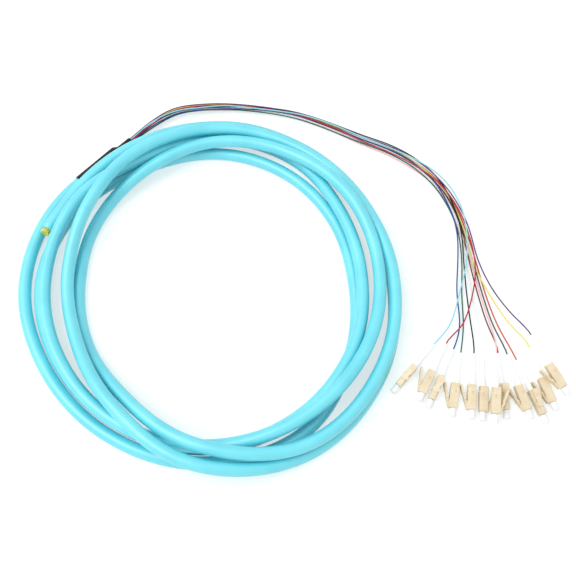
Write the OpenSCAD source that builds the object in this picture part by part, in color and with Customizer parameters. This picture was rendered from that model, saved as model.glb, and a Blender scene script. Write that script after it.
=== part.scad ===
// Twelve-fibre pre-terminated cable: a coiled jacketed cable with one cut end, a fan-out sleeve,
// and twelve buffered fibres that each end in an LC connector with a latch and a dust cap.
// Units are millimetres. +Z is up, +X runs along the longest side, the coil lies on Z = 0.

/* [Cable] */
// Outside diameter of the cable jacket
jacket_diameter = 8.4; // [7:0.1:10]
// Wall of the jacket where its cut end is open
jacket_wall = 1.4; // [0.8:0.1:1.8]
// Depth of the open space in the cut end
cut_end_depth = 12; // [6:0.5:14]
// How deep the cable is cut flat where it lies on the table
rest_flat_depth = 0.8; // [0.4:0.1:1]
// How far the yarn stands out of the cut end
yarn_overhang = 2.5; // [1:0.5:6]
// How far the fibres stand out of the cut end
stub_overhang = 1.5; // [1:0.5:8]
// Diameter of the ripcord under the jacket
ripcord_diameter = 0.5; // [0.3:0.1:0.8]

/* [Fan-out sleeve] */
// Outside diameter of the sleeve over the jacket
sleeve_diameter = 9.6; // [9:0.1:12]
// Length of jacket that the sleeve grips
sleeve_grip_length = 34; // [15:1:40]
// Length of the sleeve's cone
sleeve_cone_length = 5; // [3:0.5:14]
// Outside diameter of the sleeve over the fibres
sleeve_nose_diameter = 5.4; // [5:0.1:8]
// Length of the sleeve's narrow end
sleeve_nose_length = 10; // [6:0.5:20]
// Gap between the fibre bundle and the sleeve
sleeve_bore_clearance = 0.1; // [0.05:0.05:0.4]

/* [Fibres] */
// Diameter of one buffered fibre
fiber_diameter = 0.9; // [0.6:0.05:1]
// Distance between the levels of fibres in the bundle
fiber_pitch = 1.05; // [1.02:0.01:1.3]

/* [Connector housing] */
// Length of the housing along the ferrule
housing_length = 16.4; // [15:0.1:20]
// Width of the housing
housing_width = 4.5; // [4.2:0.05:5.2]
// Height of the housing above the ferrule's axis
housing_above = 3.25; // [3:0.05:4]
// Height of the housing below the ferrule's axis
housing_below = 2.35; // [2.2:0.05:3]
// Chamfer along the housing's long edges
housing_chamfer = 0.35; // [0.1:0.05:0.6]
// Chamfer round the housing's front edge
nose_chamfer = 0.5; // [0.2:0.05:0.8]
// Length of the step under the housing's rear end
rear_step_length = 3.3; // [2:0.1:5]
// Depth of the step under the housing's rear end
rear_step_depth = 0.5; // [0.2:0.05:0.6]
// Diameter of the open bore round the ferrule
nose_bore_diameter = 3.1; // [2.8:0.05:3.4]
// Depth of the open bore round the ferrule
nose_bore_depth = 6.2; // [4:0.1:8]
// Thickness of the inner wall that stops the ferrule's flange
stop_wall_thickness = 1; // [0.6:0.1:2]
// Diameter of the spring chamber
chamber_diameter = 2.9; // [2.8:0.05:3]
// Length of each side window
window_length = 1.9; // [1:0.1:3]
// Height of each side window
window_height = 0.7; // [0.4:0.05:1.2]
// Distance from the rear face to the middle of a side window
window_place = 5.5; // [4:0.1:7]
// Width of the moulding groove near the rear face
groove_width = 0.3; // [0.2:0.05:0.6]
// Depth of the moulding groove near the rear face
groove_depth = 0.15; // [0.05:0.05:0.3]

/* [Latch] */
// Distance from the housing's rear face to the latch's bend line
hinge_place = 11.5; // [10:0.1:13]
// Height of the bend line above the housing's top
hinge_rise = 0.95; // [0.9:0.05:1.4]
// Radius of the rounded end of the lever at the bend line
hinge_radius = 0.7; // [0.5:0.05:0.7]
// Gap between the lever's rounded end and the latch root
hinge_clearance = 0.2; // [0.15:0.05:0.4]
// Angle of the lever above the housing when it is free
lever_angle = 17; // [14:0.5:20]
// Thickness of the lever
lever_thickness = 1.25; // [0.9:0.05:1.5]
// Distance from the bend line to the lever's end
lever_length = 11.2; // [9:0.1:13]
// Width of the lever's strip
lever_width = 3; // [2:0.1:3.6]
// Width over the lever's catch shoulders
shoulder_width = 4.9; // [4.5:0.1:5.2]
// Length of the catch shoulders
shoulder_length = 2; // [1:0.1:3]
// Width of the thumb paddle
paddle_width = 4.1; // [3.6:0.1:4.5]
// Length of the thumb paddle
paddle_length = 5.6; // [4:0.1:6.5]
// Number of grip ridges on the paddle
ridge_count = 3; // [0:1:5]
// Distance between grip ridges
ridge_pitch = 1.1; // [0.8:0.1:1.3]

/* [Ferrule and spring] */
// Diameter of the ceramic ferrule
ferrule_diameter = 1.25; // [1:0.01:1.4]
// How far the ferrule stands out of the housing
ferrule_overhang = 2; // [1:0.1:3]
// Chamfer on the ferrule's tip
ferrule_chamfer = 0.2; // [0.1:0.05:0.3]
// Diameter of the metal flange that holds the ferrule
flange_diameter = 2.6; // [2.2:0.05:2.7]
// Length of the metal flange
flange_length = 2; // [1.2:0.1:3]
// How far the ferrule starts inside the flange's rear face
ferrule_inset = 0.6; // [0.3:0.1:1]
// Outside diameter of the spring
spring_diameter = 2.5; // [2.2:0.05:2.7]
// Diameter of the spring's wire
spring_wire = 0.35; // [0.2:0.01:0.4]
// Number of turns of the spring
spring_turns = 4; // [3:1:5]

/* [Rear body and boot] */
// Length of the rear body inside the housing
rear_plug_length = 3.2; // [2:0.1:4]
// Diameter of the rear body's collar
collar_diameter = 4; // [3.4:0.1:4.4]
// Thickness of the rear body's collar
collar_thickness = 1; // [0.5:0.1:1.5]
// Diameter of the stem that carries the boot
stem_diameter = 2; // [1.6:0.1:2.4]
// Length of the stem that carries the boot
stem_length = 3.5; // [2:0.1:5]
// Gap round a fibre in its passages
fiber_clearance = 0.05; // [0.02:0.01:0.1]
// Length of the boot
boot_length = 20; // [14:0.5:24]
// Diameter of the boot at the connector
boot_diameter = 3.4; // [3:0.1:4]
// Diameter of the boot's tip
boot_tip_diameter = 1.9; // [1.6:0.1:2.4]
// Length of the boot's straight collar
boot_collar_length = 4.5; // [3:0.1:6]

/* [Dust cap] */
// Diameter of the dust cap's head
cap_diameter = 4.4; // [4:0.1:5]
// Length of the dust cap's head
cap_head_length = 5.4; // [4.5:0.1:8]
// Rounding of the dust cap's head
cap_rounding = 0.8; // [0.3:0.1:1.2]
// Outside diameter of the cap's tube inside the nose
cap_tube_diameter = 2.5; // [2.2:0.05:2.6]
// Length of the cap's tube inside the nose
cap_tube_length = 3; // [2:0.1:4]
// Gap round the ferrule in the cap's tube
cap_bore_clearance = 0.2; // [0.1:0.05:0.4]
// Gap between the cap's head and the nose
cap_seat_gap = 0.2; // [0.1:0.05:0.5]

/* [Hidden] */

$fn = 32;

// Fibres in the order of the colour code, one index each
BLUE = 0;
ORANGE = 1;
GREEN = 2;
BROWN = 3;
SLATE = 4;
WHITE = 5;
RED = 6;
BLACK = 7;
YELLOW = 8;
VIOLET = 9;
ROSE = 10;
AQUA = 11;

// Display colours
fiber_colors = ["#2f5fb5", "#f0672f", "#2f9a5f", "#7a4a3a", "#5c6672", "#f2f2ee",
                "#d8344c", "#1c1c20", "#f0d848", "#7a4c9c", "#f0a8bc", "#6cd0d8"];
jacket_color = "#6fdcf0";
beige = "#ecd9b4";

// Middle of the coil on the table, and the move that centres the whole part on the origin
coil_centre = [-49, -8.5];
frame_shift = [-1.45, 0.83, 0];

// The coil, lap by lap from the fan-out sleeve: the cable's distance from the coil's middle
// at twelve directions 30 degrees apart, from 120 degrees on, and its lift off the table there.
coil_radius = [
    116.5, 124, 125, 121, 121, 123, 121.5, 107, 96.5, 95.5, 98, 101,
    102.5, 110.5, 114, 112, 112, 114, 112.5, 107.5, 101, 101, 110, 111,
    104.5, 107.8, 109, 109.5, 112.5, 114.5, 115.5, 115, 112.5, 110, 108, 103,
    95, 92.5, 88.5, 91, 97.5, 116, 130.5, 128.5, 122, 117, 116.5, 113.5,
    105, 96.5, 94.2, 95.5, 106.5, 127, 134, 130, 122.5, 121, 122.5, 125,
    117, 115.5, 116.5
];
coil_lift = [
    1.4, 1.4, 0, 0, 0, 0, 0, 0, 0, 0, 0, 0,
    0, 0, 0, 0, 0, 0, 5.4, 9.6, 8, 7.4, 1.8, 4.6,
    10.2, 13.2, 8.2, 9, 9.2, 9.2, 14, 15.2, 11.4, 15.6, 11.4, 12,
    9, 0.6, 0, 0, 10.6, 18.6, 10.8, 9.2, 9, 8.3, 8.6, 13.2,
    19.8, 18, 8.4, 8.8, 17, 16.8, 0.6, 0, 0, 0, 0, 0,
    9.6, 8.2, 7.6
];
coil_first_direction = 120;
coil_knot_angle = 30;
// The coiled run starts and ends in these directions, counted on over the laps
coil_start_angle = coil_first_direction + 23;
coil_end_angle = coil_first_direction + 5 * 360 + 33;
// One ring of the tube every so many degrees, eight sides round
coil_ring_angle = 10;
coil_sides = 8;

// The loose fibre bundle from the sleeve to where it fans out: place of its middle, at its lowest fibres
trunk = [
    [-98, 118, 3.4], [-82, 129.5, 3.2], [-64, 134, 2.6], [-44, 135.5, 2.2], [-24, 134.5, 1.8],
    [-3, 131.5, 1.2], [14, 127, 0.7], [34, 118.5, 0.5], [57, 106.5, 0.5], [77, 98, 0.5],
    [95, 86.5, 0.5], [110, 71, 0.5], [119.5, 52, 0.5], [125, 30, 0.5]
];
// The level on which each fibre lies in the bundle, by colour index: fibres cross only between levels
level_of = [2, 0, 1, 1, 0, 1, 3, 2, 1, 3, 0, 4];
// How far each fibre lies outwards of the bundle's middle at those places, by colour index
weave = [
    [-2, -2.5, -3, -3, -2, -1, -1, -0.5, 0, -0.5, -1, -2, -3, -4],
    [3, 3, 3.5, 3, 2.5, 2.5, 2, 1.5, 1.5, 1, 1.5, 2, 2.5, 3],
    [-2.5, -2.5, -2.5, -2.5, -3, -3, -3, -3, -2.5, -3, -3.5, -4, -3.5, -3],
    [0.5, 0.5, 0.5, 0.5, 0, 0, 0, 0, 0.5, 0, -0.5, -1, -0.5, 0],
    [1.5, 1, 1.5, 1.5, 1, 1, 0.5, 0, -0.5, -1, -1, -0.5, 0.5, 1],
    [-1, -1, -1, -1, -1.5, -1.5, -1.5, -1.5, -1, -1.5, -2, -2.5, -2, -1.5],
    [-1, 0, 0, -0.5, -1, -1, -1, -1, -2, -3.5, -3, -1, 1.5, 3],
    [0, -0.5, -1, -1, 0, 1.5, 2, 2.5, 3.5, 3.5, 3, 2, 0.5, -1],
    [2.5, 2.5, 2, 2, 1.5, 1.5, 1.5, 1.5, 2.5, 1.5, 1, 0.5, 1, 1.5],
    [1.5, 2, 1.5, 1, 0.5, 0.5, 1, 1.5, 1.5, 1.5, 1.5, 1.5, 3, 4.5],
    [0, -0.5, -1.5, -2.5, -1.5, -0.5, -1, -2, -3, -4, -4.5, -3, -2.5, -2],
    [0, -1.5, -2.5, -1.5, -2.5, -2, -0.5, 0.5, 0.5, -0.5, 1, 3.5, 4.5, 2.5]
];
// Where the same fibres lie inside the sleeve and the cable: ring (0 inner, 1 outer) and direction
nests = [
    [1, 20], [1, 340], [1, 57], [1, 303], [0, 60], [0, 300],
    [1, 97], [1, 263], [1, 136], [0, 180], [1, 184], [1, 226]
];
// The nest that each fibre takes, by colour index
nest_of = [9, 1, 10, 5, 3, 11, 8, 4, 0, 2, 7, 6];

// Each fibre's own way through the fan, by colour index
fan = [
    [[119.5, 5.5, 2.6], [116.5, -17.5, 2.6], [116.5, -40.5, 2.6]],
    [[132.5, 5.5, 0.5], [136, -17.5, 0.5], [141.5, -40.5, 0.6]],
    [[122.5, 5.5, 1.6], [120, -17.5, 1.6], [119, -40.5, 1.6]],
    [[127.5, 5.5, 1.6], [130.5, -17.5, 1.6], [134.5, -40.5, 1.8]],
    [[130.5, 5.5, 0.5], [134, -17.5, 0.5], [138.5, -40.5, 0.6]],
    [[125.5, 5.5, 1.6], [126.5, -17.5, 1.6], [128.5, -40.5, 1.6]],
    [[131, 4, 3.7], [127, -19, 3.7], [118, -42, 3.7]],
    [[123.5, 5.5, 2.6], [123, -17.5, 2.6], [123.5, -40.5, 2.6]],
    [[130, 5, 1.6], [138, -18, 1.6], [149.5, -41, 1.8]],
    [[133, 5.5, 3.7], [140.5, -17.5, 4.5], [150.5, -38.5, 9.5]],
    [[129, 5.5, 0.8], [131.5, -17.5, 3], [133, -41, 11]],
    [[125, 4.5, 4.7], [118, -18.5, 4.7], [110, -41.5, 4]]
];
// How far behind the boot a fibre is in line with it, and where its last ring before the boot lies
fiber_lead = 6;
fiber_entry = 1.5;
fiber_sides = 8;
fiber_rings = 30;

// Height of the ferrule's axis over the table for a connector that lies on its side or its back
side_height = max(shoulder_width, housing_width) / 2 + 0.05;
back_height = max(housing_below, cap_diameter / 2) + 0.05;
// Connectors by colour index: place of the housing's rear face, the way it points,
// its roll (0 latch up, 90 latch to the left, -90 to the right) and its nose-down pitch
connectors = [
    [[100.8, -77.2, back_height], -117, 0, 0],
    [[157, -85.7, back_height], -72, 0, 0],
    [[110.2, -81.4, side_height], -103, 90, 0],
    [[139.3, -82, back_height], -89.5, 0, 0],
    [[149.7, -82.4, side_height], -77, 90, 0],
    [[126.7, -83.3, side_height], -96.5, -90, 0],
    [[96, -73.2, side_height], -118.5, 90, 0],
    [[120.5, -82.2, side_height], -98, 90, 0],
    [[165.3, -77.5, side_height], -75, 90, 0],
    [[168.5, -70.3, side_height + 6.7], -62, 90, 8],
    [[131.9, -86.4, side_height + 9.7], -95, -90, 12],
    [[83.9, -70.6, back_height], -132, 0, 0]
];

// ---- Places worked out from the sizes ----

hinge_height = housing_above + hinge_rise;
flange_front = housing_length - nose_bore_depth - stop_wall_thickness;
flange_rear = flange_front - flange_length;
ferrule_rear = flange_rear + ferrule_inset;
ferrule_front = housing_length + ferrule_overhang;
boot_front = -collar_thickness;
boot_rear = boot_front - boot_length;
passage_diameter = fiber_diameter + 2 * fiber_clearance;
inner_ring = (fiber_diameter + 0.02) / (2 * sin(60));
outer_ring = inner_ring + fiber_diameter + 0.1;
bundle_diameter = 2 * outer_ring + fiber_diameter;
jacket_bore = jacket_diameter - 2 * jacket_wall;
cable_rest_height = jacket_diameter / 2 - rest_flat_depth;
cut_straight = 21;

// ---- Curves ----

function unit(v) = v / norm(v);

// Smooth curve through evenly counted values or points, at count t
function spline(v, t) =
    let (n = len(v), i = max(0, min(n - 2, floor(t))), f = t - i)
    let (b = v[i], c = v[i + 1])
    let (a = i > 0 ? v[i - 1] : 2 * b - c, d = i + 2 < n ? v[i + 2] : 2 * c - b)
    0.5 * (2 * b + (c - a) * f + (2 * a - 5 * b + 4 * c - d) * f * f + (3 * b - a - 3 * c + d) * f * f * f);

// Middle of the coiled cable in one direction, counted on over the laps
function coil_at(angle) =
    let (t = (angle - coil_first_direction) / coil_knot_angle, r = spline(coil_radius, t))
    [coil_centre.x + r * cos(angle), coil_centre.y + r * sin(angle),
     cable_rest_height + max(0, spline(coil_lift, t))];

// The way the cable runs where the coil starts and ends, outwards
start_run = coil_at(coil_start_angle) - coil_at(coil_start_angle + 1);
start_way = unit([start_run.x, start_run.y, 0]);
cut_way = unit(coil_at(coil_end_angle) - coil_at(coil_end_angle - 1));
sleeve_rear = coil_at(coil_start_angle) + 2 * start_way;
jacket_start = sleeve_rear + sleeve_grip_length * start_way;
sleeve_length = sleeve_grip_length + sleeve_cone_length + sleeve_nose_length;
sleeve_front = sleeve_rear + sleeve_length * start_way;
cut_end = coil_at(coil_end_angle) + cut_straight * cut_way;

coil_points = concat(
    [jacket_start, sleeve_rear],
    [for (angle = [coil_start_angle : coil_ring_angle : coil_end_angle]) coil_at(angle)],
    [cut_end - 1.5 * jacket_diameter * cut_way, cut_end]
);

// Least gap between the coil's laps, measured on points every 2.5 degrees
gap_step = 2.5;
lap_points = [for (angle = [coil_start_angle : gap_step : coil_end_angle]) coil_at(angle)];
function to_segment(p, a, b) =
    let (d = b - a, f = max(0, min(1, ((p - a) * d) / (d * d)))) norm(p - a - f * d);
lap_gaps = [
    for (i = [0 : len(lap_points) - 1], lap = [1 : 5], k = [-4 : 3])
        let (j = i + lap * 360 / gap_step + k)
        if (j >= 0 && j + 1 < len(lap_points)) to_segment(lap_points[i], lap_points[j], lap_points[j + 1])
];
echo(least_gap_between_laps = min(lap_gaps) - jacket_diameter);
least_spring_gap = (flange_rear - rear_plug_length - spring_wire) / spring_turns - spring_wire;
echo(least_gap_between_spring_turns = least_spring_gap);

// Direction of a route at one of its points, from its neighbours
function run(p, i) = unit(p[min(i + 1, len(p) - 1)] - p[max(i - 1, 0)]);

// One ring of a tube, square to the route, cut flat at the table
function ring(p, i, radius, sides, floor_height) =
    let (way = run(p, i), side = unit(cross(way, [0, 0, 1])), up = cross(side, way))
    [for (k = [0 : sides - 1])
        let (a = (k + 0.5) * 360 / sides, q = p[i] + radius * (cos(a) * side + sin(a) * up))
        [q.x, q.y, max(q.z, floor_height)]];

// A tube swept along points as one closed skin of triangles
module tube(p, diameter, sides, floor_height = -1) {
    n = len(p);
    skin = [for (i = [0 : n - 1]) each ring(p, i, diameter / 2, sides, floor_height)];
    walls = [
        for (i = [0 : n - 2], k = [0 : sides - 1])
            let (a = i * sides + k, b = i * sides + (k + 1) % sides)
            each [[a, b, b + sides], [a, b + sides, a + sides]]
    ];
    caps = [
        for (k = [1 : sides - 2])
            each [[0, k + 1, k], [(n - 1) * sides, (n - 1) * sides + k, (n - 1) * sides + k + 1]]
    ];
    polyhedron(skin, concat(walls, caps), convexity = 10);
}

// Puts what points along +Z at a place, pointing another way
module aim(place, way) {
    translate(place) rotate([0, acos(way.z), atan2(way.y, way.x)]) children();
}

// ---- Cable ----

module cable_jacket() {
    color(jacket_color)
        difference() {
            tube(coil_points, jacket_diameter, coil_sides, 0);
            aim(cut_end - cut_end_depth * cut_way, cut_way) cylinder(d = jacket_bore, h = cut_end_depth + 1);
        }
}

module heat_shrink_sleeve() {
    nose_start = sleeve_grip_length + sleeve_cone_length;
    narrow = bundle_diameter / 2 + sleeve_bore_clearance;
    color("#1c1e20")
        aim(sleeve_rear, start_way)
            rotate_extrude($fn = 48)
                polygon([
                    [jacket_diameter / 2, 0], [sleeve_diameter / 2, 0],
                    [sleeve_diameter / 2, sleeve_grip_length],
                    [sleeve_nose_diameter / 2, nose_start], [sleeve_nose_diameter / 2, sleeve_length],
                    [narrow, sleeve_length], [narrow, sleeve_grip_length],
                    [jacket_diameter / 2, sleeve_grip_length]
                ]);
}

// Place of one nest in the round bundle, across it
function nest_place(i) =
    let (nest = nests[i], r = nest[0] == 0 ? inner_ring : outer_ring)
    [r * cos(nest[1]), r * sin(nest[1])];

ripcord_ring = (bundle_diameter + jacket_bore) / 4;

module aramid_yarn() {
    inner = bundle_diameter / 2 + 0.05;
    outer = jacket_bore / 2;
    color("#ecd24a")
        aim(cut_end - cut_end_depth * cut_way, cut_way)
            difference() {
                rotate_extrude()
                    polygon([
                        [inner, 0], [outer, 0], [outer, cut_end_depth],
                        [outer + 0.5, cut_end_depth + 0.7 * yarn_overhang],
                        [outer, cut_end_depth + yarn_overhang], [inner, cut_end_depth + yarn_overhang]
                    ]);
                translate([ripcord_ring, 0, -1])
                    cylinder(d = ripcord_diameter, h = cut_end_depth + yarn_overhang + 2);
            }
}

module ripcord() {
    color("#e8863c")
        aim(cut_end - cut_end_depth * cut_way, cut_way)
            translate([ripcord_ring, 0, 0])
                cylinder(d = ripcord_diameter, h = cut_end_depth + stub_overhang, $fn = 16);
}

module inner_fibers() {
    color("#d8d8d0")
        aim(cut_end - cut_end_depth * cut_way, cut_way)
            for (i = [0 : 11])
                translate(nest_place(i))
                    cylinder(d = fiber_diameter, h = cut_end_depth + stub_overhang, $fn = 16);
}

// ---- Fibres ----

// The bundle's frame at one of its places: left of its way on the table
function trunk_left(j) = let (way = run(trunk, j)) unit([-way.y, way.x, 0]);

function trunk_point(j, f) = trunk[j] + weave[f][j] * trunk_left(j) + [0, 0, level_of[f] * fiber_pitch];

// A fibre's place at a distance along the sleeve's line from the jacket's end
function sleeve_point(f, distance) =
    let (q = nest_place(nest_of[f]), left = [-start_way.y, start_way.x, 0])
    jacket_start + distance * start_way + q.x * left + [0, 0, q.y];

// A place in a connector's own frame: forward along the ferrule, across, and towards the latch
function connector_point(f, q) =
    let (c = connectors[f], heading = c[1], roll = c[2], pitch = c[3])
    let (y = q.y * cos(roll) - q.z * sin(roll), z = q.y * sin(roll) + q.z * cos(roll))
    let (x2 = q.x * cos(pitch) + z * sin(pitch), z2 = z * cos(pitch) - q.x * sin(pitch))
    c[0] + [x2 * cos(heading) - y * sin(heading), x2 * sin(heading) + y * cos(heading), z2];

module at_connector(f) {
    c = connectors[f];
    translate(c[0]) rotate([0, 0, c[1]]) rotate([0, c[3], 0]) rotate([c[2], 0, 0]) children();
}

function fiber_knots(f) =
    concat(
        [sleeve_point(f, sleeve_length - sleeve_grip_length)],
        [for (j = [0 : len(trunk) - 1]) trunk_point(j, f)],
        fan[f],
        [connector_point(f, [boot_rear - fiber_lead, 0, 0]), connector_point(f, [boot_rear - fiber_entry, 0, 0])]
    );

function fiber_points(f) =
    let (knots = fiber_knots(f), last = len(knots) - 1)
    concat(
        [sleeve_point(f, 0), knots[0] - start_way],
        [for (i = [0 : fiber_rings]) spline(knots, i * last / fiber_rings)],
        [connector_point(f, [boot_rear - 0.5, 0, 0]), connector_point(f, [ferrule_rear, 0, 0])]
    );

module fiber(f) {
    color(fiber_colors[f]) tube(fiber_points(f), fiber_diameter, fiber_sides);
}

module fiber_blue() { fiber(BLUE); }
module fiber_orange() { fiber(ORANGE); }
module fiber_green() { fiber(GREEN); }
module fiber_brown() { fiber(BROWN); }
module fiber_slate() { fiber(SLATE); }
module fiber_white() { fiber(WHITE); }
module fiber_red() { fiber(RED); }
module fiber_black() { fiber(BLACK); }
module fiber_yellow() { fiber(YELLOW); }
module fiber_violet() { fiber(VIOLET); }
module fiber_rose() { fiber(ROSE); }
module fiber_aqua() { fiber(AQUA); }

// ---- Connector housing ----

// The housing from the side: forward and towards the latch
module housing_side() {
    polygon([
        [0, rear_step_depth - housing_below], [rear_step_length, rear_step_depth - housing_below],
        [rear_step_length, -housing_below], [housing_length - nose_chamfer, -housing_below],
        [housing_length, nose_chamfer - housing_below], [housing_length, housing_above], [0, housing_above]
    ]);
}

// The housing from the front, with its long edges chamfered
module housing_front() {
    c = housing_chamfer;
    w = housing_width / 2;
    polygon([
        [c - w, -housing_below], [w - c, -housing_below], [w, c - housing_below], [w, housing_above - c],
        [w - c, housing_above], [c - w, housing_above], [-w, housing_above - c], [-w, c - housing_below]
    ]);
}

// The housing from above, with its nose chamfered
module housing_top() {
    w = housing_width / 2;
    polygon([
        [0, -w], [housing_length - nose_chamfer, -w], [housing_length, nose_chamfer - w],
        [housing_length, w - nose_chamfer], [housing_length - nose_chamfer, w], [0, w]
    ]);
}

module along_ferrule() {
    rotate([0, 90, 0]) children();
}

// The fixed root of the latch: a ramp from the nose that holds the lever's rounded end
module latch_root() {
    rotate([90, 0, 0])
        linear_extrude(lever_width, center = true)
            difference() {
                polygon([
                    [hinge_place + 0.4, housing_above - 0.1], [housing_length, housing_above - 0.1],
                    [housing_length, housing_above + 0.2],
                    [hinge_place + 0.85, hinge_height + 0.6], [hinge_place + 0.4, hinge_height + 0.6]
                ]);
                translate([hinge_place, hinge_height]) circle(hinge_radius + hinge_clearance);
            }
}

module housing() {
    height = housing_above + housing_below;
    difference() {
        union() {
            intersection() {
                rotate([90, 0, 0]) linear_extrude(housing_width, center = true) housing_side();
                rotate([90, 0, 90]) linear_extrude(housing_length) housing_front();
                linear_extrude(3 * height, center = true) housing_top();
            }
            latch_root();
        }
        translate([housing_length - nose_bore_depth, 0, 0])
            along_ferrule() cylinder(d = nose_bore_diameter, h = nose_bore_depth + 1);
        translate([-1, 0, 0])
            along_ferrule() cylinder(d = ferrule_diameter + 0.4, h = housing_length + 2);
        translate([-1, 0, 0])
            along_ferrule() cylinder(d = chamber_diameter, h = flange_front + 1);
        translate([window_place, 0, 0])
            cube([window_length, housing_width + 2, window_height], center = true);
        translate([groove_width + 1, 0, 0])
            difference() {
                translate([0, -housing_width, -2 * housing_below])
                    cube([groove_width, 2 * housing_width, 3 * height]);
                translate([-1, groove_depth - housing_width / 2, rear_step_depth + groove_depth - housing_below])
                    cube([groove_width + 2, housing_width - 2 * groove_depth,
                          height - rear_step_depth - 2 * groove_depth]);
            }
    }
}

module one_housing(f) {
    color(beige) at_connector(f) housing();
}

module housing_blue() { one_housing(BLUE); }
module housing_orange() { one_housing(ORANGE); }
module housing_green() { one_housing(GREEN); }
module housing_brown() { one_housing(BROWN); }
module housing_slate() { one_housing(SLATE); }
module housing_white() { one_housing(WHITE); }
module housing_red() { one_housing(RED); }
module housing_black() { one_housing(BLACK); }
module housing_yellow() { one_housing(YELLOW); }
module housing_violet() { one_housing(VIOLET); }
module housing_rose() { one_housing(ROSE); }
module housing_aqua() { one_housing(AQUA); }

// ---- Latch lever ----

// The lever from the side, from its bend line back along -X
module lever_side() {
    top = hinge_radius;
    bottom = hinge_radius - lever_thickness;
    circle(hinge_radius);
    polygon([
        [0, bottom], [0, top], [0.4 - lever_length, top], [-lever_length, top - 0.4],
        [-lever_length, bottom + 0.5], [0.5 - lever_length, bottom]
    ]);
    for (i = [0 : ridge_count - 1])
        translate([paddle_length * 0.8 - lever_length - i * ridge_pitch, top]) circle(0.25, $fn = 16);
}

// The lever from above: thumb paddle, strip and catch shoulders
module lever_top() {
    s = lever_width / 2;
    w = shoulder_width / 2;
    p = paddle_width / 2;
    rear = -lever_length;
    shoulder_front = 0.1 - hinge_radius;
    shoulder_rear = shoulder_front - shoulder_length;
    half = [
        [rear, p - 0.8], [rear + 0.8, p], [rear + paddle_length, p], [rear + paddle_length + 1, s],
        [shoulder_rear, s], [shoulder_rear, w], [shoulder_front - 0.4, w], [shoulder_front, s],
        [hinge_radius + 1, s]
    ];
    polygon(concat(half, [for (i = [len(half) - 1 : -1 : 0]) [half[i].x, -half[i].y]]));
}

module latch() {
    translate([hinge_place, 0, hinge_height])
        rotate([0, lever_angle, 0])
            intersection() {
                rotate([90, 0, 0]) linear_extrude(shoulder_width + 2, center = true) lever_side();
                linear_extrude(6 * lever_thickness, center = true) lever_top();
            }
}

module one_latch(f) {
    color(beige) at_connector(f) latch();
}

module latch_blue() { one_latch(BLUE); }
module latch_orange() { one_latch(ORANGE); }
module latch_green() { one_latch(GREEN); }
module latch_brown() { one_latch(BROWN); }
module latch_slate() { one_latch(SLATE); }
module latch_white() { one_latch(WHITE); }
module latch_red() { one_latch(RED); }
module latch_black() { one_latch(BLACK); }
module latch_yellow() { one_latch(YELLOW); }
module latch_violet() { one_latch(VIOLET); }
module latch_rose() { one_latch(ROSE); }
module latch_aqua() { one_latch(AQUA); }

// ---- Ferrule, flange and spring ----

module ferrule() {
    r = ferrule_diameter / 2;
    along_ferrule()
        rotate_extrude()
            polygon([
                [0, ferrule_rear], [r, ferrule_rear], [r, ferrule_front - ferrule_chamfer],
                [r - ferrule_chamfer, ferrule_front], [0, ferrule_front]
            ]);
}

module ferrules() {
    color("#f4f2ec") for (f = [0 : 11]) at_connector(f) ferrule();
}

module ferrule_flange() {
    along_ferrule()
        translate([0, 0, flange_rear])
            difference() {
                cylinder(d = flange_diameter, h = flange_length);
                translate([0, 0, -1]) cylinder(d = ferrule_diameter, h = flange_length + 2);
            }
}

module ferrule_flanges() {
    color("#c9cdd2") for (f = [0 : 11]) at_connector(f) ferrule_flange();
}

// A helix between the rear body and the flange
module spring() {
    start = rear_plug_length + spring_wire / 2;
    rise = flange_rear - rear_plug_length - spring_wire;
    r = (spring_diameter - spring_wire) / 2;
    steps = 8 * spring_turns;
    tube([for (i = [0 : steps]) [start + rise * i / steps, r * cos(45 * i), r * sin(45 * i)]], spring_wire, 6, -9);
}

module springs() {
    color("#9aa0a6") for (f = [0 : 11]) at_connector(f) spring();
}

// ---- Rear body and boot ----

module rear_body() {
    plug = chamber_diameter / 2 - 0.03;
    bore = passage_diameter / 2;
    along_ferrule()
        rotate_extrude()
            polygon([
                [bore, boot_front - stem_length], [stem_diameter / 2, boot_front - stem_length],
                [stem_diameter / 2, boot_front], [collar_diameter / 2, boot_front],
                [collar_diameter / 2, 0], [plug, 0], [plug, rear_plug_length], [bore, rear_plug_length]
            ]);
}

module rear_bodies() {
    color(beige) for (f = [0 : 11]) at_connector(f) rear_body();
}

module boot() {
    bore = passage_diameter / 2;
    stem = stem_diameter / 2;
    along_ferrule()
        rotate_extrude()
            polygon([
                [bore, boot_rear], [boot_tip_diameter / 2, boot_rear],
                [boot_diameter / 2 - 0.3, boot_front - boot_collar_length],
                [boot_diameter / 2, boot_front - boot_collar_length],
                [boot_diameter / 2, boot_front - 0.2], [boot_diameter / 2 - 0.2, boot_front],
                [stem, boot_front], [stem, boot_front - stem_length], [bore, boot_front - stem_length]
            ]);
}

module boots() {
    color("#f6f6f4") for (f = [0 : 11]) at_connector(f) boot();
}

// ---- Dust cap ----

module dust_cap() {
    bore = ferrule_diameter / 2 + cap_bore_clearance;
    tube_radius = cap_tube_diameter / 2;
    head = housing_length + cap_seat_gap;
    tip = head + cap_head_length;
    r = cap_diameter / 2;
    along_ferrule()
        rotate_extrude()
            polygon(concat(
                [[0, tip], [0, ferrule_front + 0.4], [bore, ferrule_front + 0.4],
                 [bore, housing_length - cap_tube_length], [tube_radius, housing_length - cap_tube_length],
                 [tube_radius, head], [r, head]],
                [for (a = [0 : 22.5 : 90])
                    [r - cap_rounding + cap_rounding * cos(a), tip - cap_rounding + cap_rounding * sin(a)]]
            ));
}

module one_dust_cap(f) {
    color("#f4f5f6") at_connector(f) dust_cap();
}

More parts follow.
